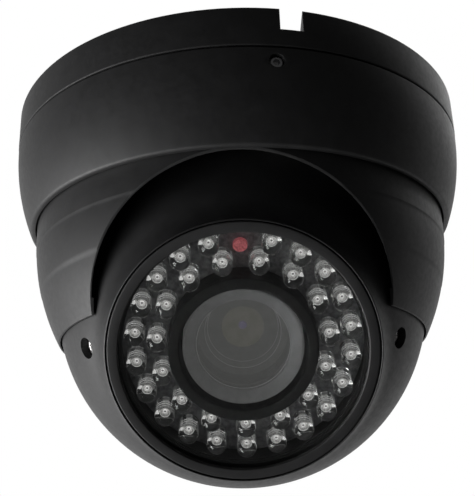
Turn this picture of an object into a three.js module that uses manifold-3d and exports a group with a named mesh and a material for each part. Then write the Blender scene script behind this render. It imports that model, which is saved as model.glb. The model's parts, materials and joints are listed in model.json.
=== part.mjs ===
// A ceiling dome camera with a three-axis turret, in millimetres.
// +Z is up. The origin is the middle of the face that lies against the ceiling, and the lens looks
// towards -Y.
// The root is the base and its cover. The pan shell turns on the cover's ledge about Z, the turret tilts on
// the yoke about X, and the camera module rolls inside the turret about the optical axis.

import * as THREE from "three";
import { mergeVertices } from "three/addons/utils/BufferGeometryUtils.js";
import Module from "manifold-3d";

const wasm = await Module();
wasm.setup();

// ---- driving dimensions -------------------------------------------------------------------------

const GAP = 0.3; // clearance between neighbouring pieces
const FINE = 32; // sides of the large turned pieces
const MEDIUM = 18; // sides of the lens-sized pieces
const SMALL = 8; // sides of screws and pins

const baseRadius = 62.5;
const baseDepth = 10.2; // height of the base's rim
const plateThickness = 3;
const spigotOuter = 59.4; // the spigot centres the cover
const spigotInner = 57.2;
const spigotEnd = -17;
const mountHoleCircle = 48;
const mountHoleRadius = 2.25;
const mountHoleAzimuths = [70, 190, 310];
const cableX = 13.4; // the cable channel runs along Y at this X
const channelWidth = 5.3;
const channelDepth = 5.8;
const channelWall = 1.5;
const cableHoleY = -33.4; // where the cable hole meets the channel
const cableHoleRadius = 4.6;

const coverTop = -10.6;
const coverBottom = -33;
const coverCurveCentre = { r: 6.4, z: -11 };
const coverCurveRadius = 56;
const coverLipRadius = 1.7;
const coverOpening = 56.6; // inner edge of the lip
const coverBore = 59.75;
const ledgeTop = -25; // the ledge that carries the pan shell
const ledgeOuter = 59;
const setScrewAzimuths = [8.9, 128.9, 248.9];
const setScrewHeight = -14;

const panWallRadius = 56.15;
const panCentreZ = -36.4; // the shell's outer sphere
const panInnerRadius = 54.2;
const panInnerZ = -39.5; // the shell's inner sphere
const panBottom = -63.5;
const panFlangeRadius = 58.7;
const panFlangeBottom = -23.6;
const panFlangeTop = -21.8;

const pivotZ = -50.5;
const ballRadius = 49.9;
const ballWall = 2.2;
const tiltAtRest = 35; // degrees of the optical axis below the horizon
const archDistance = 35.6; // from the pivot to the plane that cuts the arch
const flatHalfWidth = 49; // the ball is flat outside this, where the yoke's arms pass
const pivotBossRadius = 6;
const pivotScrewRadius = 1.4;
const pivotScrewTip = 41; // distance of its end from the middle

const seamRadius = 31.6; // where the bezel ring meets the turret
const faceHeight = 41; // front of the bezel ring, along the optical axis
const glassRadius = 30.3;
const glassFront = 39.6;
const glassBack = 38.1;
const gasketInner = 28.2;
const boardRadius = 28.6;
const boardBore = 29;
const boardFront = 29.2;
const boardThickness = 1.6;
const ledRadius = 2.4;
const ledHeight = 8.6;
const ledRings = [
  { slots: 22, radius: 25.4, first: 1 }, // slot 0 belongs to the photocell
  { slots: 15, radius: 20.2, first: 0, turn: 0.5 },
];
const photocellRadius = 1.7;
const photocellY = 23.5;
const shroudOuter = 17.5;
const shroudInner = 14.8;
const faceScrewAngle = 48.6; // degrees from the optical axis, in the plane of the tilt axis

const chassisTop = 22.5;
const chassisBottom = 18.2;
const chassisRadius = 38;
const chassisBore = 24.3;
const spacerCircle = 26;
const carrierRadius = 24;
const carrierLeg = { inner: 20.2, outer: 21.9, halfWidth: 4, foot: 16.2 };

const lensRadius = 14.2;
const frontLensLip = 11.2; // the lens barrel's opening in front of the first lens
const barrelOuter = 12;
const barrelInner = 11.2;
const barrelRear = -6;
const barrelFront = 17;
const ringOuter = 14.6;
const ringInner = barrelOuter + GAP;
const boardSize = 38;
const sensorBoardFront = -10.6;
const processorBoardFront = -20.4;

const radians = THREE.MathUtils.degToRad;

// ---- materials ----------------------------------------------------------------------------------

const finish = (color, roughness, metalness) => ({ color, roughness, metalness });
const blackPaint = finish(0x2b2d30, 0.45, 0.2);
const castAlloy = finish(0x8d9094, 0.5, 0.9);
const steel = finish(0xb4b7ba, 0.35, 1);
const blackPlastic = finish(0x1c1d1f, 0.6, 0);
const rubber = finish(0x141414, 0.85, 0);
const nylon = finish(0xd9d6cc, 0.7, 0);
const clearGlass = finish(0xdfe6e8, 0.05, 0);
const boardGreen = finish(0x1f4a35, 0.55, 0);
const boardBlack = finish(0x2a2b2d, 0.55, 0);
const coatedGlass = finish(0x5a5470, 0.05, 0);
const chipBlack = finish(0x101113, 0.4, 0);
const photocellRed = finish(0xc24a48, 0.3, 0);
const anodised = finish(0x202124, 0.35, 0.6);

// ---- geometry helpers ---------------------------------------------------------------------------

// Only positions are kept, shared vertices are merged, and triangles that collapse on the axis are dropped.
function welded(geometry) {
  const bare = geometry.index ? geometry.toNonIndexed() : geometry;
  bare.deleteAttribute("normal");
  bare.deleteAttribute("uv");
  const merged = mergeVertices(bare, 1e-4);
  const kept = [];
  const index = merged.index.array;
  for (let i = 0; i < index.length; i += 3) {
    const [a, b, c] = [index[i], index[i + 1], index[i + 2]];
    if (a !== b && b !== c && c !== a) kept.push(a, b, c);
  }
  merged.setIndex(kept);
  return merged;
}

function toSolid(geometry) {
  const closed = welded(geometry);
  return new wasm.Manifold(new wasm.Mesh({
    numProp: 3,
    vertProperties: new Float32Array(closed.attributes.position.array),
    triVerts: new Uint32Array(closed.index.array),
  }));
}

function toGeometry(solid) {
  const mesh = solid.getMesh();
  const geometry = new THREE.BufferGeometry();
  geometry.setAttribute("position", new THREE.BufferAttribute(mesh.vertProperties, 3));
  geometry.setIndex(new THREE.BufferAttribute(mesh.triVerts, 1));
  geometry.computeVertexNormals();
  return geometry;
}

const join = (...parts) => toGeometry(parts.map(toSolid).reduce((all, part) => all.add(part)));

const cut = (body, ...tools) => toGeometry(
  tools.map(toSolid).reduce((rest, tool) => rest.subtract(tool), toSolid(body)),
);

// Points [r, z] on a circle in the profile plane, from one angle to another, in degrees.
function arc(centreR, centreZ, radius, from, to, steps) {
  return Array.from({ length: steps + 1 }, (_, i) => {
    const angle = radians(from + ((to - from) * i) / steps);
    return [centreR + radius * Math.cos(angle), centreZ + radius * Math.sin(angle)];
  });
}

// A solid of revolution about Z. The profile runs either way round, and closes on itself or on the axis.
function turned(profile, sides = FINE) {
  const points = profile.map(([r, z]) => new THREE.Vector2(Math.abs(r) < 1e-6 ? 0 : r, z));
  if (THREE.ShapeUtils.isClockWise(points)) points.reverse();
  const firstOnAxis = points.findIndex((point, i) => point.x === 0 && points.at(i - 1).x === 0);
  if (firstOnAxis < 0) points.push(points[0].clone());
  else points.push(...points.splice(0, firstOnAxis));
  return new THREE.LatheGeometry(points, sides).rotateX(Math.PI / 2);
}

const ring = (inner, outer, bottom, top, sides = MEDIUM) => turned(
  [[inner, bottom], [outer, bottom], [outer, top], [inner, top]],
  sides,
);

const disc = (radius, bottom, top, sides = MEDIUM) => new THREE.CylinderGeometry(
  radius,
  radius,
  top - bottom,
  sides,
).rotateX(Math.PI / 2).translate(0, 0, (bottom + top) / 2);

const box = (x0, x1, y0, y1, z0, z1) => new THREE.BoxGeometry(x1 - x0, y1 - y0, z1 - z0)
  .translate((x0 + x1) / 2, (y0 + y1) / 2, (z0 + z1) / 2);

// Turns a piece that stands along +Z so that it points along a direction, with its foot at a point.
function aimed(geometry, direction, foot = new THREE.Vector3()) {
  const turn = new THREE.Quaternion().setFromUnitVectors(new THREE.Vector3(0, 0, 1), direction);
  return geometry.applyQuaternion(turn).translate(foot.x, foot.y, foot.z);
}

// The outward direction at an azimuth measured from -Y towards +X.
const outward = (azimuth) => new THREE.Vector3(Math.sin(radians(azimuth)), -Math.cos(radians(azimuth)), 0);

// The direction in the turret's face at an angle measured from up towards +X.
const faceDirection = (angle) => new THREE.Vector3(Math.sin(radians(angle)), Math.cos(radians(angle)), 0);

const along = (direction, distance) => direction.clone().multiplyScalar(distance);

// A socket-head screw along +Z: the tip is at 0, the head's underside at shank, with a hexagon socket on top.
function socketScrew(shankRadius, shank, headRadius, head) {
  const body = turned([
    [0, 0],
    [shankRadius, 0],
    [shankRadius, shank],
    [headRadius, shank],
    [headRadius, shank + head],
    [0, shank + head],
  ], SMALL);
  return cut(body, disc(headRadius * 0.5, shank + head * 0.4, shank + head + 1, 6));
}

// ---- scene graph --------------------------------------------------------------------------------

const camera = new THREE.Group();
const turret = new THREE.Group();
turret.position.z = pivotZ;
turret.rotation.x = radians(90 + tiltAtRest);
camera.add(turret);

function place(group, name, geometry, look) {
  const mesh = new THREE.Mesh(geometry, new THREE.MeshStandardMaterial(look));
  mesh.name = name;
  group.add(mesh);
}

// ---- base and cover -----------------------------------------------------------------------------

function mountingBase() {
  const casting = turned([
    [0, 0],
    [baseRadius - 0.3, 0],
    [baseRadius, -0.3],
    [baseRadius, -baseDepth],
    [spigotOuter, -baseDepth],
    [spigotOuter, spigotEnd],
    [spigotInner, spigotEnd],
    [spigotInner, -plateThickness],
    [0, -plateThickness],
  ]);
  const half = channelWidth / 2;
  const wall = channelWall;
  const inner = cableHoleY + cableHoleRadius;
  const floor = -channelDepth - wall;
  const [west, east] = [cableX - half, cableX + half];
  const trough = box(west - wall, east + wall, -spigotInner + 2, inner + wall, floor, -1);
  const seat = disc(cableHoleRadius + 2 * wall, floor, -1).translate(cableX, cableHoleY, 0);
  const channel = box(west, east, -baseRadius - 5, inner, -channelDepth, 1);
  const cableHole = disc(cableHoleRadius, floor - 5, 1).translate(cableX, cableHoleY, 0);
  const screwHoles = mountHoleAzimuths.map((azimuth) => {
    const spot = along(outward(azimuth), mountHoleCircle);
    return disc(mountHoleRadius, -5, 1, SMALL).translate(spot.x, spot.y, 0);
  });
  return cut(join(casting, trough, seat), channel, cableHole, ...screwHoles);
}

function cableGrommet() {
  const floor = -channelDepth - channelWall;
  const outer = cableHoleRadius - GAP;
  const flange = cableHoleRadius + 1.4;
  const bore = 3.1;
  return turned([
    [bore, floor - 1.3],
    [flange, floor - 1.3],
    [flange, floor - GAP],
    [outer, floor - GAP],
    [outer, floor + 2],
    [bore, floor + 2],
  ], MEDIUM).translate(cableX, cableHoleY, 0);
}

function coverRing() {
  const { r, z } = coverCurveCentre;
  const lipCurve = coverCurveRadius - coverLipRadius;
  const fall = THREE.MathUtils.radToDeg(Math.asin((z - coverBottom - coverLipRadius) / lipCurve));
  const lipR = r + lipCurve * Math.cos(radians(fall));
  const lipZ = coverBottom + coverLipRadius;
  const body = turned([
    [61.2, coverTop],
    [baseRadius - 0.3, coverTop],
    ...arc(r, z, coverCurveRadius, 0, -fall, 6),
    ...arc(lipR, lipZ, coverLipRadius, -fall, -90, 4).slice(1),
    [coverOpening, coverBottom],
    [coverOpening, ledgeTop],
    [ledgeOuter, ledgeTop],
    [coverBore, ledgeTop + 5],
    [coverBore, coverTop - 1.6],
    [61.2, coverTop - 1.6],
  ]);
  const holes = setScrewAzimuths.map((azimuth) => aimed(
    disc(1.8, 50, 70, SMALL),
    outward(azimuth),
    new THREE.Vector3(0, 0, setScrewHeight),
  ));
  return cut(body, ...holes);
}

// A grub screw with a hexagon socket, in the cover's wall.
function coverSetScrew(azimuth) {
  const [tip, end] = [spigotOuter + GAP, 61.9];
  const body = cut(disc(1.5, tip, end, SMALL), disc(0.8, end - 1, end + 1, 6));
  return aimed(body, outward(azimuth), new THREE.Vector3(0, 0, setScrewHeight));
}

place(camera, "mounting_base", mountingBase(), blackPaint);
place(camera, "cable_grommet", cableGrommet(), rubber);
place(camera, "cover_seal", ring(spigotOuter + GAP, 60.9, coverTop - 1.3, coverTop + 0.1, FINE), rubber);
place(camera, "cover_ring", coverRing(), blackPaint);
setScrewAzimuths.forEach((azimuth, i) => {
  place(camera, `cover_set_screw_${i + 1}`, coverSetScrew(azimuth), steel);
});
place(camera, "pan_friction_ring", ring(56.9, 58.6, ledgeTop + GAP, panFlangeBottom - GAP, FINE), nylon);

// ---- pan shell and yoke -------------------------------------------------------------------------

function panShell() {
  const outerEnd = THREE.MathUtils.radToDeg(Math.asin((panCentreZ - panBottom) / panWallRadius));
  const innerEnd = THREE.MathUtils.radToDeg(Math.asin((panInnerZ - panBottom) / panInnerRadius));
  const bowl = turned([
    [panInnerRadius, panFlangeTop],
    [panFlangeRadius, panFlangeTop],
    [panFlangeRadius, panFlangeBottom],
    [panWallRadius, panFlangeBottom],
    ...arc(0, panCentreZ, panWallRadius, 0, -outerEnd, 6),
    ...arc(0, panInnerZ, panInnerRadius, -innerEnd, 0, 5),
  ]);
  const arch = box(-70, 70, -70, 70, archDistance, 120);
  arch.rotateX(radians(90 + tiltAtRest)).translate(0, 0, pivotZ);
  const holes = yokeScrewPoints().map((point) => disc(1.35, -30, -10, SMALL).translate(point.x, point.y, 0));
  return cut(bowl, arch, ...holes);
}

const yokeTop = panFlangeTop + GAP + 1.4;
const yokeScrewPoints = () => [60, 180, 300].map((turn) => along(outward(turn), 56.4));

function yoke() {
  const hoop = ring(47.5, 58.5, panFlangeTop + GAP, yokeTop, FINE);
  const arms = [-1, 1].flatMap((side) => {
    const inner = side * (flatHalfWidth + GAP);
    const outer = inner + side * 1.2;
    const [x0, x1] = [Math.min(inner, outer), Math.max(inner, outer)];
    const eye = disc(pivotBossRadius, x0, x1, MEDIUM).rotateY(Math.PI / 2).translate(0, 0, pivotZ);
    return [box(x0, x1, -pivotBossRadius, pivotBossRadius, pivotZ, yokeTop - 0.2), eye];
  });
  const pivotHole = disc(pivotScrewRadius + 0.4, -70, 70, SMALL).rotateY(Math.PI / 2).translate(0, 0, pivotZ);
  const holes = yokeScrewPoints().map((point) => disc(1.35, -30, -10, SMALL).translate(point.x, point.y, 0));
  return cut(join(hoop, ...arms), pivotHole, ...holes);
}

place(camera, "pan_shell", panShell(), blackPaint);
place(camera, "yoke", yoke(), steel);
yokeScrewPoints().forEach((point, i) => {
  const foot = new THREE.Vector3(point.x, point.y, panFlangeBottom + 0.5);
  const shank = yokeTop + GAP - foot.z;
  const screw = aimed(socketScrew(1, shank, 1.9, 1.6), new THREE.Vector3(0, 0, 1), foot);
  place(camera, `yoke_screw_${i + 1}`, screw, steel);
});
[["left", -1], ["right", 1]].forEach(([side, sign]) => {
  const direction = new THREE.Vector3(sign, 0, 0);
  const foot = new THREE.Vector3(0, 0, pivotZ);
  const headSeat = flatHalfWidth + GAP + 1.2 + GAP;
  const shank = headSeat - pivotScrewTip;
  const body = socketScrew(pivotScrewRadius, shank, 2.8, 1.1).translate(0, 0, pivotScrewTip);
  const screw = aimed(body, direction, foot);
  const washer = aimed(ring(2.2, 5.7, 48 + GAP, flatHalfWidth, MEDIUM), direction, foot);
  place(camera, `tilt_lock_screw_${side}`, screw, steel);
  place(camera, `tilt_washer_${side}`, washer, nylon);
});

// ---- turret, in its own frame: +Z is the optical axis, +Y is up and the origin is the tilt pivot ------

const pivotBore = () => disc(pivotBossRadius + 0.4, -70, 70, MEDIUM).rotateY(Math.PI / 2);
const outsideFlats = () => [[flatHalfWidth, 70], [-70, -flatHalfWidth]].map(
  ([from, to]) => box(from, to, -70, 70, -70, 70),
);
const faceScrewDirection = (sign) => new THREE.Vector3(
  sign * Math.sin(radians(faceScrewAngle)),
  0,
  Math.cos(radians(faceScrewAngle)),
);

function turretFrontShell() {
  const flareR = 34.9; // where the flare under the bezel leaves the ball
  const flareAngle = THREE.MathUtils.radToDeg(Math.acos(flareR / ballRadius));
  const body = turned([
    [ballRadius - ballWall, GAP / 2],
    ...arc(0, 0, ballRadius, 0.2, flareAngle, 6),
    [34.1, 36.9],
    [33, 39.6],
    [seamRadius + 0.5, faceHeight],
    [seamRadius, faceHeight],
    [seamRadius, 36.2],
    [gasketInner - 0.1, 36.2],
    [gasketInner - 0.1, 35.2],
    [boardBore, 34.3],
    [boardBore, 24],
    ...arc(0, 0, ballRadius - ballWall, 30.2, 4, 4),
  ]);
  const screwHoles = [-1, 1].flatMap((sign) => [
    aimed(disc(2.6, 44.5, 60, SMALL), faceScrewDirection(sign)),
    aimed(disc(1.5, 30, 50, SMALL), faceScrewDirection(sign)),
  ]);
  return cut(body, pivotBore(), ...outsideFlats(), ...screwHoles);
}

// The rear of the ball, with a slot that clears the base and lets the cable out at every tilt.
function turretRearShell() {
  const body = turned([
    ...arc(0, 0, ballRadius, -0.2, -90, 10),
    ...arc(0, 0, ballRadius - ballWall, -90, -0.2, 8),
  ]);
  const sector = new THREE.Shape([new THREE.Vector2(0, 0), ...[95, 120, 145, 170, 195].map((angle) => (
    new THREE.Vector2(-Math.cos(radians(angle)), Math.sin(radians(angle))).multiplyScalar(80)
  ))]);
  const slot = new THREE.ExtrudeGeometry(sector, { depth: 34.6, bevelEnabled: false });
  slot.rotateY(Math.PI / 2).translate(-17.3, 0, 0);
  return cut(body, slot, pivotBore(), ...outsideFlats());
}

function bezelRing() {
  const outer = seamRadius - GAP;
  return turned([
    [28.8, glassFront + GAP],
    [28.8, faceHeight - 0.4],
    [29.2, faceHeight],
    [outer - 0.3, faceHeight],
    [outer, faceHeight - 0.3],
    [outer, 36.6],
    [glassRadius + GAP, 36.6],
    [glassRadius + GAP, glassFront + GAP],
  ]);
}

// The chassis joins both halves of the ball to the pivots and carries the board and the camera module.
function turretChassis() {
  const hoop = turned([
    [chassisBore, chassisBottom],
    [chassisRadius, chassisBottom],
    [chassisRadius, chassisTop],
    [22.8, chassisTop],
    [22.8, 21.2],
    [chassisBore, 21.2],
  ], FINE);
  const sides = [-1, 1].flatMap((sign) => {
    const [x0, x1] = sign < 0 ? [-chassisRadius, -36] : [36, chassisRadius];
    const boss = disc(pivotBossRadius, 37, 48, MEDIUM).rotateY((sign * Math.PI) / 2);
    return [box(x0, x1, -7, 7, -7, chassisTop), boss];
  });
  const pivotHole = disc(pivotScrewRadius + 0.4, -70, 70, SMALL).rotateY(Math.PI / 2);
  const faceHoles = [-1, 1].map((sign) => aimed(disc(1.5, 32, 60, SMALL), faceScrewDirection(sign)));
  const boardHoles = spacerPoints().map((point) => disc(1.4, 10, 30, SMALL).translate(point.x, point.y, 0));
  return cut(join(hoop, ...sides), pivotHole, ...faceHoles, ...boardHoles);
}

const spacerPoints = () => [60, 180, 300].map((angle) => along(faceDirection(angle), spacerCircle));

// Keeps the module's carrier under the chassis, held by the board's screws.
function carrierRetainingRing() {
  const holes = spacerPoints().map((point) => disc(1.4, 10, 30, SMALL).translate(point.x, point.y, 0));
  return cut(ring(22.9, 28.6, 16.9, chassisBottom - GAP), ...holes);
}

function ledBody() {
  const shoulder = boardFront + ledHeight - ledRadius;
  const foot = boardFront - 0.8; // sunk into the board
  return turned([[0, foot], [ledRadius, foot], ...arc(0, shoulder, ledRadius, 0, 90, 2)], 6);
}

function ledBoard() {
  const board = ring(15.6, boardRadius, boardFront - boardThickness, boardFront, FINE);
  const leds = ledRings.flatMap(({ slots, radius, first, turn = 0 }) => {
    const count = slots - first;
    return Array.from({ length: count }, (_, i) => {
      const spot = along(faceDirection(((i + first + turn) * 360) / slots), radius);
      return ledBody().translate(spot.x, spot.y, 0);
    });
  });
  return join(board, ...leds);
}

function photocell() {
  return disc(photocellRadius, boardFront + GAP, boardFront + 2.2, MEDIUM).translate(0, photocellY, 0);
}

place(turret, "turret_front_shell", turretFrontShell(), blackPaint);
place(turret, "turret_rear_shell", turretRearShell(), blackPaint);
place(turret, "bezel_ring", bezelRing(), blackPaint);
place(turret, "front_glass", disc(glassRadius, glassBack, glassFront, FINE), clearGlass);
place(turret, "glass_gasket", ring(gasketInner, glassRadius, 36.5, glassBack - GAP, FINE), rubber);
place(turret, "turret_chassis", turretChassis(), castAlloy);
[["left", -1], ["right", 1]].forEach(([side, sign]) => {
  const screw = aimed(socketScrew(1.15, 12, 2.2, 2).translate(0, 0, 33.2), faceScrewDirection(sign));
  place(turret, `turret_screw_${side}`, screw, steel);
});
place(turret, "led_board", ledBoard(), boardBlack);
place(turret, "photocell", photocell(), photocellRed);
place(turret, "lens_shroud", ring(shroudInner, shroudOuter, boardFront + GAP, glassBack - GAP), rubber);
spacerPoints().forEach((point, i) => {
  const spacer = ring(1.6, 2.3, chassisTop + GAP, boardFront - boardThickness - GAP, SMALL);
  const screw = socketScrew(1.1, 10.7, 1.9, 1.4).rotateX(Math.PI).translate(0, 0, 27.3);
  place(turret, `board_spacer_${i + 1}`, spacer.translate(point.x, point.y, 0), steel);
  place(turret, `board_screw_${i + 1}`, screw.translate(point.x, point.y, 0), steel);
});
place(turret, "carrier_retaining_ring", carrierRetainingRing(), blackPlastic);

// ---- camera module, which rolls about the optical axis ---------------------------------------------

function moduleCarrier() {
  const { inner, outer, halfWidth, foot } = carrierLeg;
  const plate = ring(15.2, carrierRadius, 18.5, 20.9, MEDIUM);
  const legs = [-1, 1].flatMap((sign) => {
    const [y0, y1] = sign < 0 ? [-outer, -inner] : [inner, outer];
    const [f0, f1] = sign < 0 ? [-outer, -foot] : [foot, outer];
    const floor = sensorBoardFront + GAP;
    const leg = box(-halfWidth, halfWidth, y0, y1, floor, 19);
    const toe = box(-halfWidth, halfWidth, f0, f1, floor, floor + 2);
    return [leg, toe];
  });
  const holes = moduleScrewPoints().map(([x, y]) => disc(1.2, -20, 0, SMALL).translate(x, y, 0));
  return cut(join(plate, ...legs), ...holes);
}

const moduleScrewPoints = () => [[0, 17.6], [0, -17.6]];
const pillarPoints = () => [[-1, -1], [-1, 1], [1, -1], [1, 1]].map(([x, y]) => [x * 16, y * 16]);

function circuitBoard(front, ...parts) {
  const half = boardSize / 2;
  return join(box(-half, half, -half, half, front - 1.6, front), ...parts);
}

function sensorBoard() {
  const connector = box(8, 16, -4, 4, sensorBoardFront - 4, sensorBoardFront - 1);
  const holes = moduleScrewPoints().map(([x, y]) => disc(1.4, -20, 0, SMALL).translate(x, y, 0));
  return cut(circuitBoard(sensorBoardFront, connector), ...holes);
}

function processorBoard() {
  const back = processorBoardFront - 1.6;
  const processor = box(-7, 7, -7, 7, back - 1.4, back + 0.5);
  const powerConnector = box(-15, 5, 11, 16, back - 5, back + 0.5);
  return circuitBoard(processorBoardFront, processor, powerConnector);
}

function lensMount() {
  return turned([
    [7, sensorBoardFront + GAP],
    [15.5, sensorBoardFront + GAP],
    [15.5, -7],
    [14.4, -6],
    [14.4, -1.5],
    [ringInner, -1.5],
    [ringInner, -8],
    [7, -8],
  ], MEDIUM);
}

function lensBarrel() {
  return turned([
    [barrelInner, barrelRear],
    [barrelOuter, barrelRear],
    [barrelOuter, -1],
    [13.8, -1],
    [13.8, 3.1],
    [barrelOuter, 3.1],
    [barrelOuter, 9.8],
    [13.8, 9.8],
    [13.8, 11],
    [barrelOuter, 11],
    [barrelOuter, barrelFront],
    [barrelInner, barrelFront],
  ], MEDIUM);
}

// A lens element: two spherical faces, each bulging by its own amount, and a cylindrical edge.
function lensElement(radius, back, front, backBulge, frontBulge) {
  const face = (z, bulge) => Array.from({ length: 4 }, (_, i) => {
    const r = (radius * i) / 3;
    return [r, z + bulge * (1 - (r / radius) ** 2)];
  });
  return turned([...face(back, -backBulge), ...face(front, frontBulge).reverse()], MEDIUM);
}

// A ring on the lens barrel, with a radial hole for its lock screw.
function gripRing(bottom, top, side) {
  const body = ring(ringInner, ringOuter, bottom, top, MEDIUM);
  const hole = aimed(disc(1.1, 5, 20, SMALL), new THREE.Vector3(side, 0, 0));
  return cut(body, hole.translate(0, 0, (bottom + top) / 2));
}

function lockScrew(height, side) {
  const screw = turned([
    [0, barrelOuter + GAP],
    [0.8, barrelOuter + GAP],
    [0.8, 15],
    [2, 15],
    [2, 18.6],
    [0, 18.6],
  ], SMALL);
  return aimed(screw, new THREE.Vector3(side, 0, 0), new THREE.Vector3(0, 0, height));
}

function lensFrontBarrel() {
  return turned([
    [9.6, 10],
    [10.8, 10],
    [10.8, 20],
    [lensRadius, 20],
    [lensRadius, 35.2],
    [frontLensLip, 34.2],
    [frontLensLip, 33.3],
    [12.8, 33.3],
    [12.8, 28],
    [9.6, 24],
  ], MEDIUM);
}

place(turret, "module_carrier", moduleCarrier(), blackPlastic);
place(turret, "lens_mount", lensMount(), blackPlastic);
place(turret, "sensor_board", sensorBoard(), boardGreen);
place(turret, "image_sensor", box(-4.5, 4.5, -4, 4, sensorBoardFront + GAP, -9.3), chipBlack);
place(turret, "processor_board", processorBoard(), boardGreen);
pillarPoints().forEach(([x, y], i) => {
  const pillar = disc(2.2, processorBoardFront + GAP, sensorBoardFront - 1.6 - GAP, 6);
  place(turret, `board_pillar_${i + 1}`, pillar.translate(x, y, 0), steel);
});
moduleScrewPoints().forEach(([x, y], i) => {
  const screw = socketScrew(0.9, 3.6, 1.8, 1.3).rotateX(Math.PI).translate(x, y, -8.9);
  place(turret, `module_screw_${i + 1}`, screw, steel);
});
place(turret, "lens_barrel", lensBarrel(), anodised);
place(turret, "aperture_plate", ring(3, 10.8, 5, 5.6), anodised);
place(turret, "rear_lens", lensElement(10.8, -1, 1.2, 0.8, 1.6), coatedGlass);

// ---- lens rings and the front group that zooming moves -----------------------------------------------

place(turret, "zoom_ring", gripRing(3.5, 9.4, 1), anodised);
place(turret, "zoom_lock_screw", lockScrew(6.45, 1), steel);
place(turret, "focus_ring", gripRing(11.4, 17.4, -1), anodised);
place(turret, "focus_lock_screw", lockScrew(14.4, -1), steel);
place(turret, "lens_front_barrel", lensFrontBarrel(), anodised);
place(turret, "second_lens", lensElement(9.2, 14, 16.4, 0.7, 0.7), coatedGlass);
place(turret, "front_lens", lensElement(12.4, 31.2, 32.6, -0.4, 1.6), coatedGlass);
place(turret, "lens_retaining_ring", ring(10.9, 12.4, 29.3, 30.9, MEDIUM), anodised);

export default camera;
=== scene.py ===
"""The looks of a ceiling dome camera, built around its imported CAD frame.

Pieces are sized in millimetres until they reach a mesh, where MM turns them into metres. The lights and the
floor are placed in metres. An azimuth is measured from -Y towards +X, in degrees.
"""

import json
import math

import bmesh
import bpy
from mathutils import Matrix, Vector


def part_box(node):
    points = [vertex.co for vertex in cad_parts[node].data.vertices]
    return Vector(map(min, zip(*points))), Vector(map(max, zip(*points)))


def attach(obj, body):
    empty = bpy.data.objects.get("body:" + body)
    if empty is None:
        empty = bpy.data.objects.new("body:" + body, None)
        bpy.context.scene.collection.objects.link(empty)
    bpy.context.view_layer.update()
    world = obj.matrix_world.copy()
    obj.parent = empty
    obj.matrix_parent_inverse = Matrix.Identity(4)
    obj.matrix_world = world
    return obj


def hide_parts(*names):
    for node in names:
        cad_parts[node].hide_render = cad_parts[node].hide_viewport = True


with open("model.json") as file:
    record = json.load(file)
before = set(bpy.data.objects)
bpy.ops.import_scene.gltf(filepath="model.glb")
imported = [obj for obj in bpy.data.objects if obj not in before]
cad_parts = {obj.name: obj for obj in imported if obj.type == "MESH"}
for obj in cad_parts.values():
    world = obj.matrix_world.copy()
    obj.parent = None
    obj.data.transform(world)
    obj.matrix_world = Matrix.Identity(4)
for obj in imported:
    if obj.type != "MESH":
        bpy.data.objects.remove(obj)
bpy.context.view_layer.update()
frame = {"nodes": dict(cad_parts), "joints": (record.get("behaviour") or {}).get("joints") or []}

MM = 0.001
ROUND = 144  # sides of a turned piece
SHELL_ROUND = 192
LENS_ROUND = 96
SCREW_ROUND = 32
LAMP_ROUND = 20


def size_of(node):
    """A CAD node's lowest and highest corners, in millimetres."""
    low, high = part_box(node)
    return low / MM, high / MM


# ---- sizes taken from the frame ------------------------------------------------------------------

BASE_RADIUS = size_of("mounting_base")[1].x
COVER_BOTTOM = size_of("cover_ring")[0].z
COVER_TOP = size_of("cover_ring")[1].z
PAN_BOTTOM = size_of("pan_shell")[0].z
PAN_TOP = size_of("pan_shell")[1].z
BALL_BOTTOM = size_of("turret_front_shell")[0].z
JOINTS = {joint["name"]: joint for joint in frame["joints"]}
PIVOT_Z = JOINTS["tilt"]["pos_m"][2] / MM
AXIS = Vector(JOINTS["roll"]["axis"])
BALL_RADIUS = PIVOT_Z - BALL_BOTTOM

# The turret's own frame: +Z is the optical axis, +Y is up and the origin is the tilt pivot.
TILT = math.asin(-AXIS.z)
TURRET = Matrix.Translation((0, 0, PIVOT_Z)) @ Matrix.Rotation(math.pi / 2 + TILT, 4, "X")
UPRIGHT = Matrix.Identity(4)

# ---- sizes of the design -------------------------------------------------------------------------

BASE_DEPTH = 10.2
BASE_PLATE = 3
SPIGOT_OUTER = 59.4
SPIGOT_INNER = 57.2
SPIGOT_DEPTH = 17
MOUNT_HOLES = (70, 190, 310)  # azimuths
MOUNT_CIRCLE = 48
MOUNT_HOLE_STEPS = ((2.25, 5), (4.2, 1.4))  # radius and depth of the hole and of its counterbore

CHANNEL_X = 13.4
CHANNEL_WIDTH = 5.3
CHANNEL_DEPTH = 5.8
CABLE_HOLE_Y = -33.4
CABLE_HOLE_RADIUS = 4.6
CHANNEL_SIDES = (CHANNEL_X - CHANNEL_WIDTH / 2, CHANNEL_X + CHANNEL_WIDTH / 2)
CHANNEL_END = CABLE_HOLE_Y + CABLE_HOLE_RADIUS
TROUGH_WALL = 1.5
TROUGH_FLOOR = -CHANNEL_DEPTH - TROUGH_WALL

COVER_CURVE = (6.4, -11, 56)  # centre r, centre z and radius of the cover's side
COVER_LIP = 1.0  # radius of the lower edge
COVER_NECK = 61.2
COVER_BORE = 59.75
COVER_OPENING = 56.6
LEDGE_TOP = -25  # the ledge that carries the pan shell
LEDGE_OUTER = 59
SEAL_SEAT = 1.6
SEAL_OUTER = 60.9
SEAL_THICKNESS = 1.4
SET_SCREWS = (8.9, 128.9, 248.9)  # azimuths
SET_SCREW_Z = -14
SET_SCREW_RADIUS = 1.5
SET_SCREW_HOLE = 1.75
SET_SCREW_END = 61.5

PAN_SPHERE = (-36.4, 56.15)  # centre z and radius of the pan shell's outside
PAN_INSIDE = (-39.5, 54.2)
PAN_FLANGE = (58.7, -23.6)  # radius and underside
PAN_STEPS = (-39.9, -50.6)
PAN_STEP = 0.08
STEP_TOTAL = PAN_STEP * len(PAN_STEPS)
RIM = 0.22  # wall left round the arch

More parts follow.
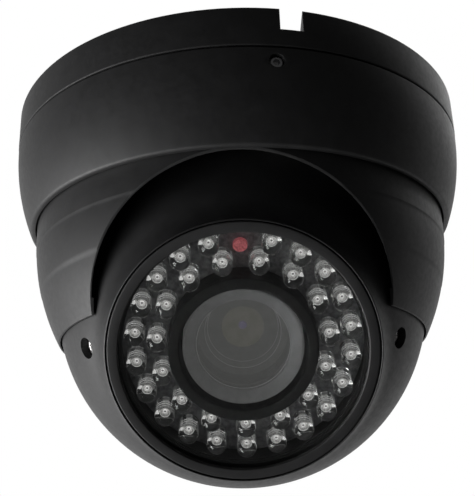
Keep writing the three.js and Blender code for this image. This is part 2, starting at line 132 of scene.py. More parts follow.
# Heights in the turret are measured along the optical axis from the tilt pivot.
ARCH = 35.6  # the plane that cuts the arch out of the pan shell
FACE = 41
BALL_INSIDE = BALL_RADIUS - 2.2
FLAT = 49  # half the distance between the ball's two flats
PIVOT_BORE = 6.4
SEAM = 31.6  # radius of the seam round the bezel
FLARE_START = 35.6  # radius at which the flare leaves the ball
GLASS_SEAT = (28.1, 36.2)  # bore and height of the ledge under the glass
CABLE_SLOT_HALF = 17.3
CABLE_SLOT_ANGLES = range(95, 196, 25)  # from the optical axis, over the ball's top
FACE_SCREW_ANGLE = 48.6  # from the optical axis
FACE_SCREW_HOLE = 2.6
FACE_SCREW_TIP = 33.2  # this and the next two are distances along the screw from the pivot
FACE_SCREW_SEAT = 45.2
FACE_SCREW_TOP = 48.2

GLASS_RADIUS = 30.3
GLASS_BACK = 38.1
GLASS_FRONT = 39.6
GASKET_INNER = 28.2
BEZEL_INNER = 28.75
SHROUD_INNER = 14.8
SHROUD_OUTER = 17.5
BOARD_FRONT = 29.2
BOARD_BACK = BOARD_FRONT - 1.6
BOARD_INNER = 15.6
BOARD_OUTER = 28.6
LED_HEIGHT = 8.6
LED_RADIUS = 2.4
LED_COLLAR = LED_RADIUS + 0.15
LED_SHOULDER = BOARD_FRONT + LED_HEIGHT - LED_RADIUS
LED_RINGS = ((22, 25.4, 1, 0), (15, 20.2, 0, 0.5))  # slots, radius, first slot, turn in slots
# The barrel's arcs are painted reflections: each is given by a drop below the shoulder and a thickness.
LED_REFLECTION_ARCS = ((0.9, 0.06), (2.2, 0.1), (3.4, 0.07))  # drop below the shoulder and thickness
CUP_TOP = BOARD_FRONT + 5.0
CUP_RADIUS = 0.64
PHOTOCELL_Y = 23.1
PHOTOCELL_RADIUS = 1.7
PHOTOCELL_SQUASH = 0.86

LENS_RADIUS = 14.2
LENS_FRONT = 35.2
LENS_LIP = 11.2
LENS_SEAT = 12.8
FRONT_LENS_RADIUS = 12.4


# ---- mesh helpers --------------------------------------------------------------------------------

def arc(centre_r, centre_z, radius, start, end, steps):
    """Points (r, z) on a circle in the profile plane, from one angle to another, in degrees."""
    angles = [math.radians(start + (end - start) * i / steps) for i in range(steps + 1)]
    return [(centre_r + radius * math.cos(a), centre_z + radius * math.sin(a)) for a in angles]


def rounded(corners, steps=4):
    """An outline whose corners (r, z, radius) are rounded; a corner with no radius stays sharp."""
    points = []
    for i, corner in enumerate(corners):
        here = Vector(corner[:2])
        radius = corner[2] if len(corner) > 2 else 0
        if not radius:
            points.append(tuple(here))
            continue
        before = Vector(corners[i - 1][:2]) - here
        after = Vector(corners[(i + 1) % len(corners)][:2]) - here
        half = before.angle(after) / 2
        reach = min(radius / math.tan(half), before.length * 0.45, after.length * 0.45)
        start, end = here + before.normalized() * reach, here + after.normalized() * reach
        for k in range(steps + 1):
            t = k / steps
            points.append(tuple(start * (1 - t) ** 2 + here * 2 * t * (1 - t) + end * t ** 2))
    return points


def shade(mesh):
    """Smooth faces that turn sharp at real edges."""
    mesh.shade_smooth()
    mesh.set_sharp_from_angle(angle=math.radians(28))


def as_object(name, mesh, place=UPRIGHT):
    """Puts a mesh made in millimetres in its place in the scene, in metres."""
    mesh.transform(place)
    mesh.transform(Matrix.Scale(MM, 4))
    piece = bpy.data.objects.new(name, mesh)
    bpy.context.scene.collection.objects.link(piece)
    return piece


def turned(name, profile, place=UPRIGHT, sides=ROUND):
    """A solid of revolution about Z whose outline closes on itself."""
    bm = bmesh.new()
    rings = []
    for r, z in profile:
        if r < 1e-5:
            rings.append([bm.verts.new((0, 0, z))])
            continue
        angles = [2 * math.pi * i / sides for i in range(sides)]
        rings.append([bm.verts.new((r * math.cos(a), r * math.sin(a), z)) for a in angles])
    for here, following in zip(rings, rings[1:] + rings[:1]):
        for i in range(sides):
            j = (i + 1) % sides
            corners = [here[i % len(here)], here[j % len(here)], following[j % len(following)],
                       following[i % len(following)]]
            unique = list(dict.fromkeys(corners))
            if len(unique) > 2:
                bm.faces.new(unique)
    bmesh.ops.recalc_face_normals(bm, faces=bm.faces)
    mesh = bpy.data.meshes.new(name)
    bm.to_mesh(mesh)
    bm.free()
    shade(mesh)
    return as_object(name, mesh, place)


def block(name, low, high, place=UPRIGHT, bevel=0.0):
    """A box between two corners, with its edges bevelled."""
    bm = bmesh.new()
    bmesh.ops.create_cube(bm, size=1)
    low, high = Vector(low), Vector(high)
    for vert in bm.verts:
        vert.co = Vector(((low[k] + high[k]) / 2 + vert.co[k] * (high[k] - low[k]) for k in range(3)))
    if bevel:
        bmesh.ops.bevel(bm, geom=list(bm.edges), offset=bevel, segments=3, affect="EDGES", profile=0.5)
    mesh = bpy.data.meshes.new(name)
    bm.to_mesh(mesh)
    bm.free()
    shade(mesh)
    return as_object(name, mesh, place)


def apply_modifiers(piece):
    graph = bpy.context.evaluated_depsgraph_get()
    mesh = bpy.data.meshes.new_from_object(piece.evaluated_get(graph))
    piece.modifiers.clear()
    piece.data = mesh


def cut(piece, tools, bevel=0.0):
    """Cuts the tools out of a piece, bevels the new edges and removes the tools."""
    for tool in tools:
        modifier = piece.modifiers.new("cut", "BOOLEAN")
        modifier.operation = "DIFFERENCE"
        modifier.solver = "EXACT"
        modifier.object = tool
    if bevel:
        modifier = piece.modifiers.new("edge", "BEVEL")
        modifier.width = bevel * MM
        modifier.segments = 2
        modifier.limit_method = "ANGLE"
        modifier.angle_limit = math.radians(40)
        modifier.use_clamp_overlap = True
    apply_modifiers(piece)
    for tool in tools:
        bpy.data.objects.remove(tool)
    shade(piece.data)
    return piece


def rod(radius, start, end, direction=(0, 0, 1), foot=(0, 0, 0), place=UPRIGHT, sides=SCREW_ROUND):
    """A cutting cylinder along a direction, between two distances from its foot."""
    profile = [(0, start), (radius, start), (radius, end), (0, end)]
    return turned("tool", profile, place @ aim(direction, foot), sides)


def aim(direction, foot=(0, 0, 0)):
    """Turns +Z to a direction and moves the origin to a foot."""
    turn = Vector((0, 0, 1)).rotation_difference(Vector(direction)).to_matrix().to_4x4()
    return Matrix.Translation(foot) @ turn


def outward(azimuth):
    """The horizontal direction at an azimuth."""
    return Vector((math.sin(math.radians(azimuth)), -math.cos(math.radians(azimuth)), 0))


def on_face(angle, radius):
    """A point of the turret's face at an angle measured from up towards +X."""
    return Vector((radius * math.sin(math.radians(angle)), radius * math.cos(math.radians(angle)), 0))


def fit(piece, body, material, slot, *nodes):
    """Gives a piece its body and material, and hides the CAD nodes that it stands for; its record slot is
    not used.
    """
    piece.data.materials.clear()
    piece.data.materials.append(material)
    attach(piece, body)
    if nodes:
        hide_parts(*nodes)
    return piece


# ---- materials -----------------------------------------------------------------------------------

class Surface:
    """A Principled material that is built from a few noise layers in object space."""

    def __init__(self, name, roughness=0.5, metallic=0.0):
        self.material = bpy.data.materials.new(name)
        self.material.use_nodes = True
        self.tree = self.material.node_tree
        self.shader = self.tree.nodes["Principled BSDF"]
        self.shader.inputs["Roughness"].default_value = roughness
        self.shader.inputs["Metallic"].default_value = metallic
        self.place = self.tree.nodes.new("ShaderNodeTexCoord").outputs["Object"]

    def noise(self, size_mm, detail=4.0, stretch=(1, 1, 1)):
        """Noise whose features are about size_mm across."""
        mapping = self.tree.nodes.new("ShaderNodeMapping")
        mapping.inputs["Scale"].default_value = stretch
        self.tree.links.new(self.place, mapping.inputs["Vector"])
        noise = self.tree.nodes.new("ShaderNodeTexNoise")
        noise.inputs["Scale"].default_value = 1 / (size_mm * MM)
        noise.inputs["Detail"].default_value = detail
        self.tree.links.new(mapping.outputs["Vector"], noise.inputs["Vector"])
        return noise.outputs["Fac"]

    def ramp(self, factor, low, high):
        ramp = self.tree.nodes.new("ShaderNodeValToRGB")
        ramp.color_ramp.elements[0].position = 0.35
        ramp.color_ramp.elements[1].position = 0.65
        ramp.color_ramp.elements[0].color = (*low, 1)
        ramp.color_ramp.elements[1].color = (*high, 1)
        self.tree.links.new(factor, ramp.inputs["Fac"])
        return ramp.outputs["Color"]

    def color(self, low, high, size_mm=3.0, detail=4.0):
        tones = self.ramp(self.noise(size_mm, detail), low, high)
        self.tree.links.new(tones, self.shader.inputs["Base Color"])
        return self

    def gloss(self, low, high, size_mm=2.0):
        values = self.ramp(self.noise(size_mm), (low,) * 3, (high,) * 3)
        self.tree.links.new(values, self.shader.inputs["Roughness"])
        return self

    def bump(self, size_mm, height_mm, strength=1.0, detail=3.0, stretch=(1, 1, 1)):
        bump = self.tree.nodes.new("ShaderNodeBump")
        bump.inputs["Distance"].default_value = height_mm * MM
        bump.inputs["Strength"].default_value = strength
        self.tree.links.new(self.noise(size_mm, detail, stretch), bump.inputs["Height"])
        self.tree.links.new(bump.outputs["Normal"], self.shader.inputs["Normal"])
        return self

    def set(self, **values):
        for name, value in values.items():
            self.shader.inputs[name.replace("_", " ")].default_value = value
        return self


def grey(value):
    return (value, value, value * 1.04)


def paint(name, base):
    """Satin powder coat: a dark body, a fine even texture and slightly uneven gloss."""
    surface = Surface(name)
    surface.color(grey(base * 0.85), grey(base * 1.2), 4.0)
    surface.gloss(0.5, 0.58, 1.2)
    surface.bump(0.4, 0.015, 0.35)
    surface.set(Specular_IOR_Level=0.5)
    return surface.material


def rubber():
    surface = Surface("rubber").color(grey(0.012), grey(0.02), 1.5).gloss(0.6, 0.75)
    return surface.bump(0.25, 0.02, 0.5).material


def metal(name, tone, low=0.22, high=0.4):
    surface = Surface(name, metallic=1.0)
    surface.color(tuple(c * 0.85 for c in tone), tone, 1.5).gloss(low, high, 0.8)
    return surface.bump(0.12, 0.01, 0.4, stretch=(1, 1, 6)).material


def glowing(name, tone, strength):
    """Plated metal with a little light of its own, in place of the studio light caught inside a lamp."""
    surface = Surface(name, metallic=0.6)
    surface.color(tuple(c * 0.6 for c in tone), tone, 0.35, 6.0).gloss(0.2, 0.4, 0.3)
    surface.set(Emission_Color=(*tone, 1), Emission_Strength=strength)
    return surface.bump(0.2, 0.02, 0.8).material


def soft_grey(name, value, strength, glow=(1, 0.995, 0.98)):
    """Grey paint inside the lens, with a trace of light of its own in place of scattered light."""
    surface = Surface(name)
    surface.color(grey(value * 0.85), grey(value * 1.15), 2.5).gloss(0.4, 0.55)
    surface.set(Emission_Color=(*glow, 1), Emission_Strength=strength)
    return surface.bump(0.15, 0.012, 0.5).material


def soft_red(name):
    """The salmon face of the light sensor, with its fine winding track and a painted red glow that brightens
    it.
    """
    surface = Surface(name)
    surface.color((0.5, 0.12, 0.13), (0.95, 0.34, 0.36), 0.5, 5.0).gloss(0.3, 0.4)
    surface.set(Emission_Color=(1, 0.24, 0.27, 1), Emission_Strength=0.16)
    return surface.bump(0.3, 0.02, 0.5).material


def plastic(name, tone, low=0.4, high=0.55, grain=0.2):
    surface = Surface(name)
    surface.color(tuple(c * 0.85 for c in tone), tuple(c * 1.15 for c in tone), 2.5).gloss(low, high)
    return surface.bump(grain, 0.012, 0.5).material


def solder_mask():
    """The lamp board's mask, lighter than a real black one because little light reaches it."""
    surface = Surface("black_solder_mask").color(grey(0.2), grey(0.46), 1.2, 6.0).gloss(0.4, 0.5)
    return surface.bump(0.5, 0.02).material


def glass(name, tone, ior=1.5, tint=(1, 1, 1)):
    """Clear glass with a faint unevenness in its polish."""
    surface = Surface(name, roughness=0.0)
    surface.color(tuple(c * 0.98 for c in tone), tone, 6.0)
    surface.bump(2.5, 0.001, 0.3)
    surface.set(Transmission_Weight=1.0, IOR=ior, Specular_Tint=(*tint, 1))
    return surface.material


PAINT = paint("black_powder_coat", 0.012)
PAINT_INSIDE = plastic("black_inside", grey(0.03), 0.5, 0.65)
RUBBER = rubber()
STEEL = metal("zinc_steel", (0.62, 0.62, 0.63))
ALLOY = metal("cast_alloy", (0.5, 0.5, 0.51), 0.4, 0.6)
NYLON = plastic("nylon", (0.72, 0.7, 0.64))
ANODISED = metal("black_anodised", (0.05, 0.05, 0.053), 0.3, 0.45)
BARREL = soft_grey("lens_barrel_grey", 0.13, 0.052)
BAFFLE = soft_grey("lens_baffle_grey", 0.14, 0.062)
# Thin rings laid on the lens's edges, light grey with a glow: painted highlights.
RING_EDGE_HIGHLIGHT = soft_grey("painted_edge_highlight", 0.5, 0.085)
PUPIL = soft_grey("warm_pupil", 0.2, 0.074, (1, 0.97, 0.86))
# A small violet glowing disc at the pupil's centre: a painted reflection of the lens coating.
PAINTED_REFLECTION = soft_grey("violet_painted_reflection", 0.2, 0.1, (0.75, 0.68, 1.0))
MASK_BLACK = solder_mask()
MASK_GREEN = plastic("green_solder_mask", (0.015, 0.11, 0.05), 0.3, 0.42, 0.6)
CHIP = plastic("chip_black", grey(0.015), 0.3, 0.4)
WINDOW = glass("window_glass", (0.97, 0.985, 0.98))
EPOXY = glass("clear_epoxy", (0.98, 0.98, 0.97))
VIOLET = glass("violet_coated_glass", (0.93, 0.92, 0.86), ior=1.6, tint=(0.8, 0.7, 1.0))
COATED = glass("coated_glass", (0.96, 0.96, 0.95), tint=(0.95, 0.9, 1.0))
LEAD = metal("silver_plate", (0.95, 0.94, 0.93), 0.2, 0.35)
# The cup glows a little and the lamps' brightest parts glow strongly: painted light in place of studio light
# caught inside the lamps.
CUP = glowing("plated_cup", (0.9, 0.89, 0.88), 0.07)
LAMP_GLINT = glowing("lead_frame_painted_glint", (0.95, 0.94, 0.93), 0.6)
DIE = plastic("infrared_die", (0.25, 0.22, 0.24), 0.2, 0.3)
CELL = soft_red("red_photocell")


# ---- base and cover ------------------------------------------------------------------------------

def channel_tools(start_y):
    """The cutters for the cable channel, from a start in Y to the round hole at its end."""
    low, high = CHANNEL_SIDES
    channel = block("tool", (low, start_y, -CHANNEL_DEPTH), (high, CHANNEL_END, 1))
    return [channel, rod(CABLE_HOLE_RADIUS, TROUGH_FLOOR - 2, 1, foot=(CHANNEL_X, CABLE_HOLE_Y, 0))]


def mounting_base():
    """The plate, rim and spigot that screw to the ceiling."""
    profile = rounded([
        (0, 0),
        (BASE_RADIUS, 0, 0.6),
        (BASE_RADIUS, -BASE_DEPTH, 0.35),
        (SPIGOT_OUTER, -BASE_DEPTH),
        (SPIGOT_OUTER, -SPIGOT_DEPTH, 0.4),
        (SPIGOT_INNER, -SPIGOT_DEPTH, 0.4),
        (SPIGOT_INNER, -BASE_PLATE, 1.2),
        (0, -BASE_PLATE),
    ])
    piece = turned("mounting_base_shell", profile)
    tools = channel_tools(-BASE_RADIUS - 5)
    for radius, depth in MOUNT_HOLE_STEPS:
        tools += [rod(radius, -depth, 1, foot=outward(azimuth) * MOUNT_CIRCLE) for azimuth in MOUNT_HOLES]
    return cut(piece, tools, bevel=0.25)


def channel_trough():
    """The floor and side walls of the cable channel, behind the base's plate."""
    left, right = CHANNEL_SIDES
    low = (left - TROUGH_WALL, -SPIGOT_INNER + 2, TROUGH_FLOOR)
    high = (right + TROUGH_WALL, CHANNEL_END + TROUGH_WALL, -BASE_PLATE)
    piece = block("cable_trough", low, high, bevel=0.4)
    return cut(piece, channel_tools(-SPIGOT_INNER))


def cable_grommet():
    """The rubber ring in the hole at the channel's end, with a flange below it."""
    bore = 3.1
    outer = CABLE_HOLE_RADIUS - 0.2
    flange = CABLE_HOLE_RADIUS + 1.4
    profile = rounded([
        (bore, TROUGH_FLOOR - 1.3, 0.5),
        (flange, TROUGH_FLOOR - 1.3, 0.5),
        (flange, TROUGH_FLOOR - 0.2, 0.3),
        (outer, TROUGH_FLOOR - 0.2),
        (outer, TROUGH_FLOOR + 2, 0.5),
        (bore, TROUGH_FLOOR + 2, 0.5),
    ])
    return turned("grommet", profile, Matrix.Translation((CHANNEL_X, CABLE_HOLE_Y, 0)), SCREW_ROUND * 2)


def cover_ring():
    """The curved ring round the base's spigot, which carries the pan shell on a ledge."""
    centre_r, centre_z, radius = COVER_CURVE
    reach = radius - COVER_LIP
    fall = math.degrees(math.asin((centre_z - COVER_BOTTOM - COVER_LIP) / reach))
    lip_r = centre_r + reach * math.cos(math.radians(fall))
    profile = [(COVER_NECK, COVER_TOP), (BASE_RADIUS - 0.3, COVER_TOP), (BASE_RADIUS - 0.1, COVER_TOP - 0.2)]
    profile += arc(centre_r, centre_z, radius, 0, -fall, 24)
    profile += arc(lip_r, COVER_BOTTOM + COVER_LIP, COVER_LIP, -fall, -90, 10)[1:]
    profile += [
        (COVER_OPENING + 0.1, COVER_BOTTOM),
        (COVER_OPENING, COVER_BOTTOM + 0.1),
        (COVER_OPENING, LEDGE_TOP),
        (LEDGE_OUTER, LEDGE_TOP),
        (COVER_BORE, LEDGE_TOP + 5),
        (COVER_BORE, COVER_TOP - SEAL_SEAT),
        (COVER_NECK, COVER_TOP - SEAL_SEAT),
    ]
    piece = turned("cover_ring_shell", profile, sides=SHELL_ROUND)
    foot = (0, 0, SET_SCREW_Z)
    tools = [rod(SET_SCREW_HOLE, 55, 70, outward(azimuth), foot) for azimuth in SET_SCREWS]
    return cut(piece, tools, bevel=0.25)


def cover_seal():
    """The square rubber ring between the cover and the base."""
    inner = SPIGOT_OUTER + 0.3
    top = COVER_TOP + 0.1
    profile = rounded([
        (inner, top - SEAL_THICKNESS, 0.3),
        (SEAL_OUTER, top - SEAL_THICKNESS, 0.3),
        (SEAL_OUTER, top, 0.3),
        (inner, top, 0.3),
    ])
    return turned("seal_ring", profile)


def socket_head(name, profile, place, socket, top, depth):
    """A turned screw with a hexagon socket in its head."""
    piece = turned(name, profile, place, SCREW_ROUND)
    return cut(piece, [rod(socket, top - depth, top + 2, place=place, sides=6)], bevel=0.06)


def set_screw(number, azimuth):
    radius, tip, end = SET_SCREW_RADIUS, SPIGOT_OUTER + 0.3, SET_SCREW_END
    profile = rounded([(0, tip), (radius, tip, 0.3), (radius, end, 0.25), (0, end)])
    place = aim(outward(azimuth), (0, 0, SET_SCREW_Z))
    return socket_head(f"set_screw_{number}", profile, place, 0.85, end, 1.2)


fit(mounting_base(), "base", PAINT, "black_paint", "mounting_base")
fit(channel_trough(), "base", PAINT, "black_paint")
fit(cable_grommet(), "base", RUBBER, "rubber", "cable_grommet")
fit(cover_ring(), "base", PAINT, "black_paint", "cover_ring")
fit(cover_seal(), "base", RUBBER, "rubber", "cover_seal")
for number, azimuth in enumerate(SET_SCREWS, 1):
    fit(set_screw(number, azimuth), "base", STEEL, "steel", f"cover_set_screw_{number}")


# ---- pan shell -----------------------------------------------------------------------------------

def pan_shell():
    """The bowl under the cover, with two shallow steps round it and an arch for the turret."""
    centre_z, radius = PAN_SPHERE
    inside_z, inside = PAN_INSIDE
    flange, underside = PAN_FLANGE
    bottom = math.degrees(math.asin((centre_z - PAN_BOTTOM) / radius))
    edges = [math.degrees(math.asin((centre_z - z) / radius)) for z in PAN_STEPS] + [bottom]
    profile = [(inside, PAN_TOP), (flange, PAN_TOP), (flange, underside), (radius, underside)]
    start = 0
    for number, edge in enumerate(edges):
        zone = radius - PAN_STEP * number
        profile += arc(0, centre_z, zone, -start - 0.25 * bool(number), -edge, 14)
        start = edge
    inside_end = math.degrees(math.asin((inside_z - PAN_BOTTOM) / inside))
    profile += arc(0, inside_z, inside, -inside_end, 0, 20)
    piece = turned("pan_bowl", profile, sides=SHELL_ROUND)
    arch = block("tool", (-70, -70, ARCH), (70, 70, 120), TURRET)
    return cut(piece, [arch, arch_relief()], bevel=0.12)


def arch_relief():
    """The step that leaves only a thin rim of the bowl's wall round the arch."""
    centre_z, radius = PAN_SPHERE
    skin = radius - STEP_TOTAL - RIM
    top, low = PAN_TOP - 2.5, -60
    end = math.degrees(math.asin((centre_z - low) / skin))
    profile = [(0, low), (0, top), (skin, top)] + arc(0, centre_z, skin, 0, -end, 30)
    piece = turned("tool", profile, sides=SHELL_ROUND)
    beyond = block("tool", (-70, -70, -80), (70, 70, ARCH - 4), TURRET)
    return cut(piece, [beyond])


fit(pan_shell(), "pan_unit", PAINT, "black_paint", "pan_shell")


# ---- turret shells -------------------------------------------------------------------------------

def face_screw_direction(sign):
    """Where a turret screw points, in the turret's frame; the sign picks the side."""
    angle = math.radians(FACE_SCREW_ANGLE)
    return Vector((sign * math.sin(angle), 0, math.cos(angle)))


def ball_flats():
    """The cutters for the two flats at the ball's sides and the pivot bore through them."""
    sides = ((FLAT, 70), (-70, -FLAT))
    flats = [block("tool", (low, -70, -70), (high, 70, 70), TURRET) for low, high in sides]
    return flats + [rod(PIVOT_BORE, -70, 70, (1, 0, 0), place=TURRET)]


def turret_front_shell():
    """The front of the ball, which flares out to meet the bezel ring."""
    flare = math.degrees(math.acos(FLARE_START / BALL_RADIUS))
    ball = arc(0, 0, BALL_RADIUS, 0.2, flare, 40)
    leave = Vector(ball[-1])
    heading = Vector((-leave.y, leave.x)).normalized()
    arrive = Vector((SEAM + 0.35, FACE - 0.15))
    handles = [leave, leave + heading * 2.2, arrive + Vector((0.9, -2.6)), arrive]
    curve = []
    for k in range(1, 13):
        t = k / 12
        weights = ((1 - t) ** 3, 3 * t * (1 - t) ** 2, 3 * t * t * (1 - t), t ** 3)
        curve.append(tuple(sum((h * w for h, w in zip(handles, weights)), Vector((0, 0)))))
    bore, seat = GLASS_SEAT
    profile = [(BALL_INSIDE, 0.15)] + ball + curve + [(SEAM + 0.12, FACE), (SEAM, FACE - 0.12), (SEAM, seat)]
    profile += [(bore, seat), (bore, seat - 1), (bore + 0.9, seat - 1.9), (bore + 0.9, 24)]
    profile += arc(0, 0, BALL_INSIDE, 30.2, 4, 10)
    piece = turned("ball_front", profile, TURRET, SHELL_ROUND)
    tools = ball_flats()
    floor = FACE_SCREW_SEAT - 0.7
    for sign in (-1, 1):
        tools.append(rod(FACE_SCREW_HOLE, floor, 60, face_screw_direction(sign), place=TURRET))
    return cut(piece, tools, bevel=0.12)


def turret_rear_shell():
    """The back of the ball, with a slot that clears the base and lets the cable out."""
    profile = arc(0, 0, BALL_RADIUS, -0.2, -90, 40) + arc(0, 0, BALL_INSIDE, -90, -0.2, 24)
    piece = turned("ball_rear", profile, TURRET, SHELL_ROUND)
    return cut(piece, [cable_slot_tool()] + ball_flats(), bevel=0.12)


def cable_slot_tool():
    """A fan-shaped cutter round the tilt axis."""
    bm = bmesh.new()
    spokes = [Vector((0, 0))]
    for angle in CABLE_SLOT_ANGLES:
        spokes.append(Vector((math.sin(math.radians(angle)), math.cos(math.radians(angle)))) * 80)
    ends = [[bm.verts.new((x, *spoke)) for spoke in spokes] for x in (-CABLE_SLOT_HALF, CABLE_SLOT_HALF)]
    bm.faces.new(ends[0])
    bm.faces.new(ends[1])
    for i in range(len(spokes)):
        j = (i + 1) % len(spokes)
        bm.faces.new((ends[0][i], ends[0][j], ends[1][j], ends[1][i]))
    bmesh.ops.recalc_face_normals(bm, faces=bm.faces)
    mesh = bpy.data.meshes.new("tool")
    bm.to_mesh(mesh)
    bm.free()
    return as_object("tool", mesh, TURRET)


def bezel_ring():
    """The ring that holds the glass in the face."""
    outer = SEAM - 0.28
    rebate = GLASS_RADIUS + 0.3
    profile = rounded([
        (BEZEL_INNER, GLASS_FRONT + 0.3, 0.2),
        (BEZEL_INNER + 0.1, FACE - 0.1, 0.3),
        (outer, FACE, 0.35),
        (outer, 36.6, 0.2),
        (rebate, 36.6),
        (rebate, GLASS_FRONT + 0.3),
    ])
    return turned("bezel", profile, TURRET, SHELL_ROUND)


def turret_screw(side, sign):
    """The socket-head screw in a hole beside the face."""
    shank, head = 1.15, 2.4
    top = FACE_SCREW_TOP
    profile = rounded([
        (0, FACE_SCREW_TIP),
        (shank, FACE_SCREW_TIP, 0.2),
        (shank, FACE_SCREW_SEAT),
        (head, FACE_SCREW_SEAT),
        (head, top, 0.9),
        (0, top),
    ])
    place = TURRET @ aim(face_screw_direction(sign))
    return socket_head(f"face_screw_{side}", profile, place, 1.1, top, 1.3)


fit(turret_front_shell(), "turret", PAINT, "black_paint", "turret_front_shell")
fit(turret_rear_shell(), "turret", PAINT, "black_paint", "turret_rear_shell")
fit(bezel_ring(), "turret", PAINT, "black_paint", "bezel_ring")
for side, sign in (("left", -1), ("right", 1)):
    fit(turret_screw(side, sign), "turret", LEAD, "steel", f"turret_screw_{side}")


# ---- glass, lamps and shroud ---------------------------------------------------------------------

def front_glass():
    profile = rounded([
        (0, GLASS_BACK),
        (GLASS_RADIUS, GLASS_BACK, 0.25),
        (GLASS_RADIUS, GLASS_FRONT, 0.25),
        (0, GLASS_FRONT),
    ])
    return turned("window", profile, TURRET, SHELL_ROUND)


def glass_gasket():
    """A gasket with a fine step down its inner wall."""
    top = GLASS_BACK - 0.3
    profile = rounded([
        (GASKET_INNER, 36.5, 0.15),
        (GLASS_RADIUS, 36.5),
        (GLASS_RADIUS, top),
        (GASKET_INNER + 0.4, top, 0.15),
        (GASKET_INNER + 0.4, 37.3),
        (GASKET_INNER, 37.2, 0.15),
    ])
    return turned("window_gasket", profile, TURRET, SHELL_ROUND)


def lens_shroud():
    """The sleeve that keeps the lamps' light out of the lens."""
    foot = BOARD_FRONT + 0.3
    top = GLASS_BACK - 0.3
    profile = rounded([
        (SHROUD_INNER, foot, 0.2),
        (SHROUD_OUTER, foot, 0.2),
        (SHROUD_OUTER, top, 0.45),
        (SHROUD_INNER, top, 0.6),
    ])
    return turned("light_shroud", profile, TURRET, LENS_ROUND)


def board():
    """The ring-shaped board that the lamps stand on."""
    profile = rounded([
        (BOARD_INNER, BOARD_BACK),
        (BOARD_OUTER, BOARD_BACK),
        (BOARD_OUTER, BOARD_FRONT, 0.1),
        (BOARD_INNER, BOARD_FRONT, 0.1),
    ])
    return turned("lamp_board", profile, TURRET, LENS_ROUND)


def lamp_spots():
    """Where each lamp stands on the board."""
    for slots, radius, first, turn in LED_RINGS:
        for slot in range(first, slots):
            yield on_face((slot + turn) * 360 / slots, radius)


def lamp_place(spot, turn=0):
    """A lamp's own place on the board, turned about its length."""
    return TURRET @ Matrix.Translation(spot) @ Matrix.Rotation(math.radians(turn), 4, "Z")


def merged(piece, *others):
    """Joins other objects' meshes into a piece and removes them."""
    bm = bmesh.new()
    bm.from_mesh(piece.data)
    for other in others:
        bm.from_mesh(other.data)
        bpy.data.objects.remove(other)
    bm.to_mesh(piece.data)
    bm.free()
    shade(piece.data)
    return piece


def lamp_body(name, spot):
    """The clear epoxy body of a 5 mm lamp: a short collar, a barrel and a round end."""
    foot = BOARD_FRONT + 0.02
    profile = rounded([
        (0, foot),
        (LED_COLLAR, foot, 0.1),
        (LED_COLLAR, foot + 0.9, 0.1),
        (LED_RADIUS, foot + 1.0),
    ])
    profile += arc(0, LED_SHOULDER, LED_RADIUS, 0, 90, 12)
    return turned(name, profile, TURRET @ Matrix.Translation(spot), SCREW_ROUND)


def lamp_cup(name, spot, turn):
    """The plated cup that holds the die, on its lead, with the other lead beside it."""
    top = CUP_TOP
    place = lamp_place(spot, turn)
    profile = rounded([
        (0, top - 1.5),
        (0.3, top - 1.5),
        (CUP_RADIUS, top - 0.5, 0.1),
        (CUP_RADIUS, top, 0.04),
        (CUP_RADIUS - 0.14, top),
        (0.26, top - 0.35),
        (0, top - 0.35),
    ])
    piece = turned(name, profile, place, LAMP_ROUND)
    lead = block("tool", (-0.25, -0.25, BOARD_FRONT), (0.25, 0.25, top - 1.4), place, 0.08)
    anvil = block("tool", (0.74, -0.4, BOARD_FRONT), (1.15, 0.4, top - 1.0), place, 0.08)
    return merged(piece, lead, anvil)


def square_ring(name, inner, outer, bottom, top, place):
    """A small ring of square section."""
    corners = [(inner, bottom), (outer, bottom), (outer, top), (inner, top)]
    return turned(name, corners, place, LAMP_ROUND)


def lamp_painted_glints(name, spot, turn):
    """Painted highlights that glow: the ring round the die, the bond post, the cup's rim and the barrel's
    painted reflection arcs.
    """
    place = lamp_place(spot, turn)
    upright = TURRET @ Matrix.Translation(spot)
    piece = square_ring(name, 0.13, 0.22, CUP_TOP - 0.3, CUP_TOP - 0.2, place)
    post = block("tool", (0.7, -0.15, CUP_TOP - 0.5), (1.15, 0.15, CUP_TOP - 0.05), place, 0.05)
    rim = square_ring("tool", 0.56, 0.6, CUP_TOP, CUP_TOP + 0.02, place)
    arcs = [painted_reflection_arc(LED_SHOULDER - drop, thickness, upright) for drop, thickness in LED_REFLECTION_ARCS]
    return merged(piece, post, rim, *arcs)


def painted_reflection_arc(height, thickness, place, steps=16):
    """A thin tapered arc along a lamp's barrel, on its upper side: a painted reflection, glowing where the
    barrel would reflect light.
    """
    radius = LED_RADIUS + 0.01
    bm = bmesh.new()
    rings = []
    for k in range(steps + 1):
        angle = math.radians(32 + 116 * k / steps)
        taper = thickness * (0.25 + 0.75 * math.sin(math.pi * k / steps))
        out = Vector((math.cos(angle), math.sin(angle), 0))
        corners = []
        for turn in (math.pi * side / 3 for side in range(6)):
            rise = Vector((0, 0, height + math.sin(turn) * taper))
            corners.append(out * (radius + math.cos(turn) * taper / 2) + rise)
        rings.append([bm.verts.new(corner) for corner in corners])
    for here, following in zip(rings, rings[1:]):
        for i in range(6):
            j = (i + 1) % 6
            bm.faces.new((here[i], here[j], following[j], following[i]))
    bm.faces.new(rings[0])
    bm.faces.new(rings[-1])
    bmesh.ops.recalc_face_normals(bm, faces=bm.faces)
    mesh = bpy.data.meshes.new("tool")
    bm.to_mesh(mesh)
    bm.free()
    return as_object("tool", mesh, place)


def lamp_die(name, spot):
    """The square chip in the cup."""
    half, top = 0.11, CUP_TOP - 0.25
    return block(name, (-half, -half, top - 0.12), (half, half, top), lamp_place(spot), 0.02)


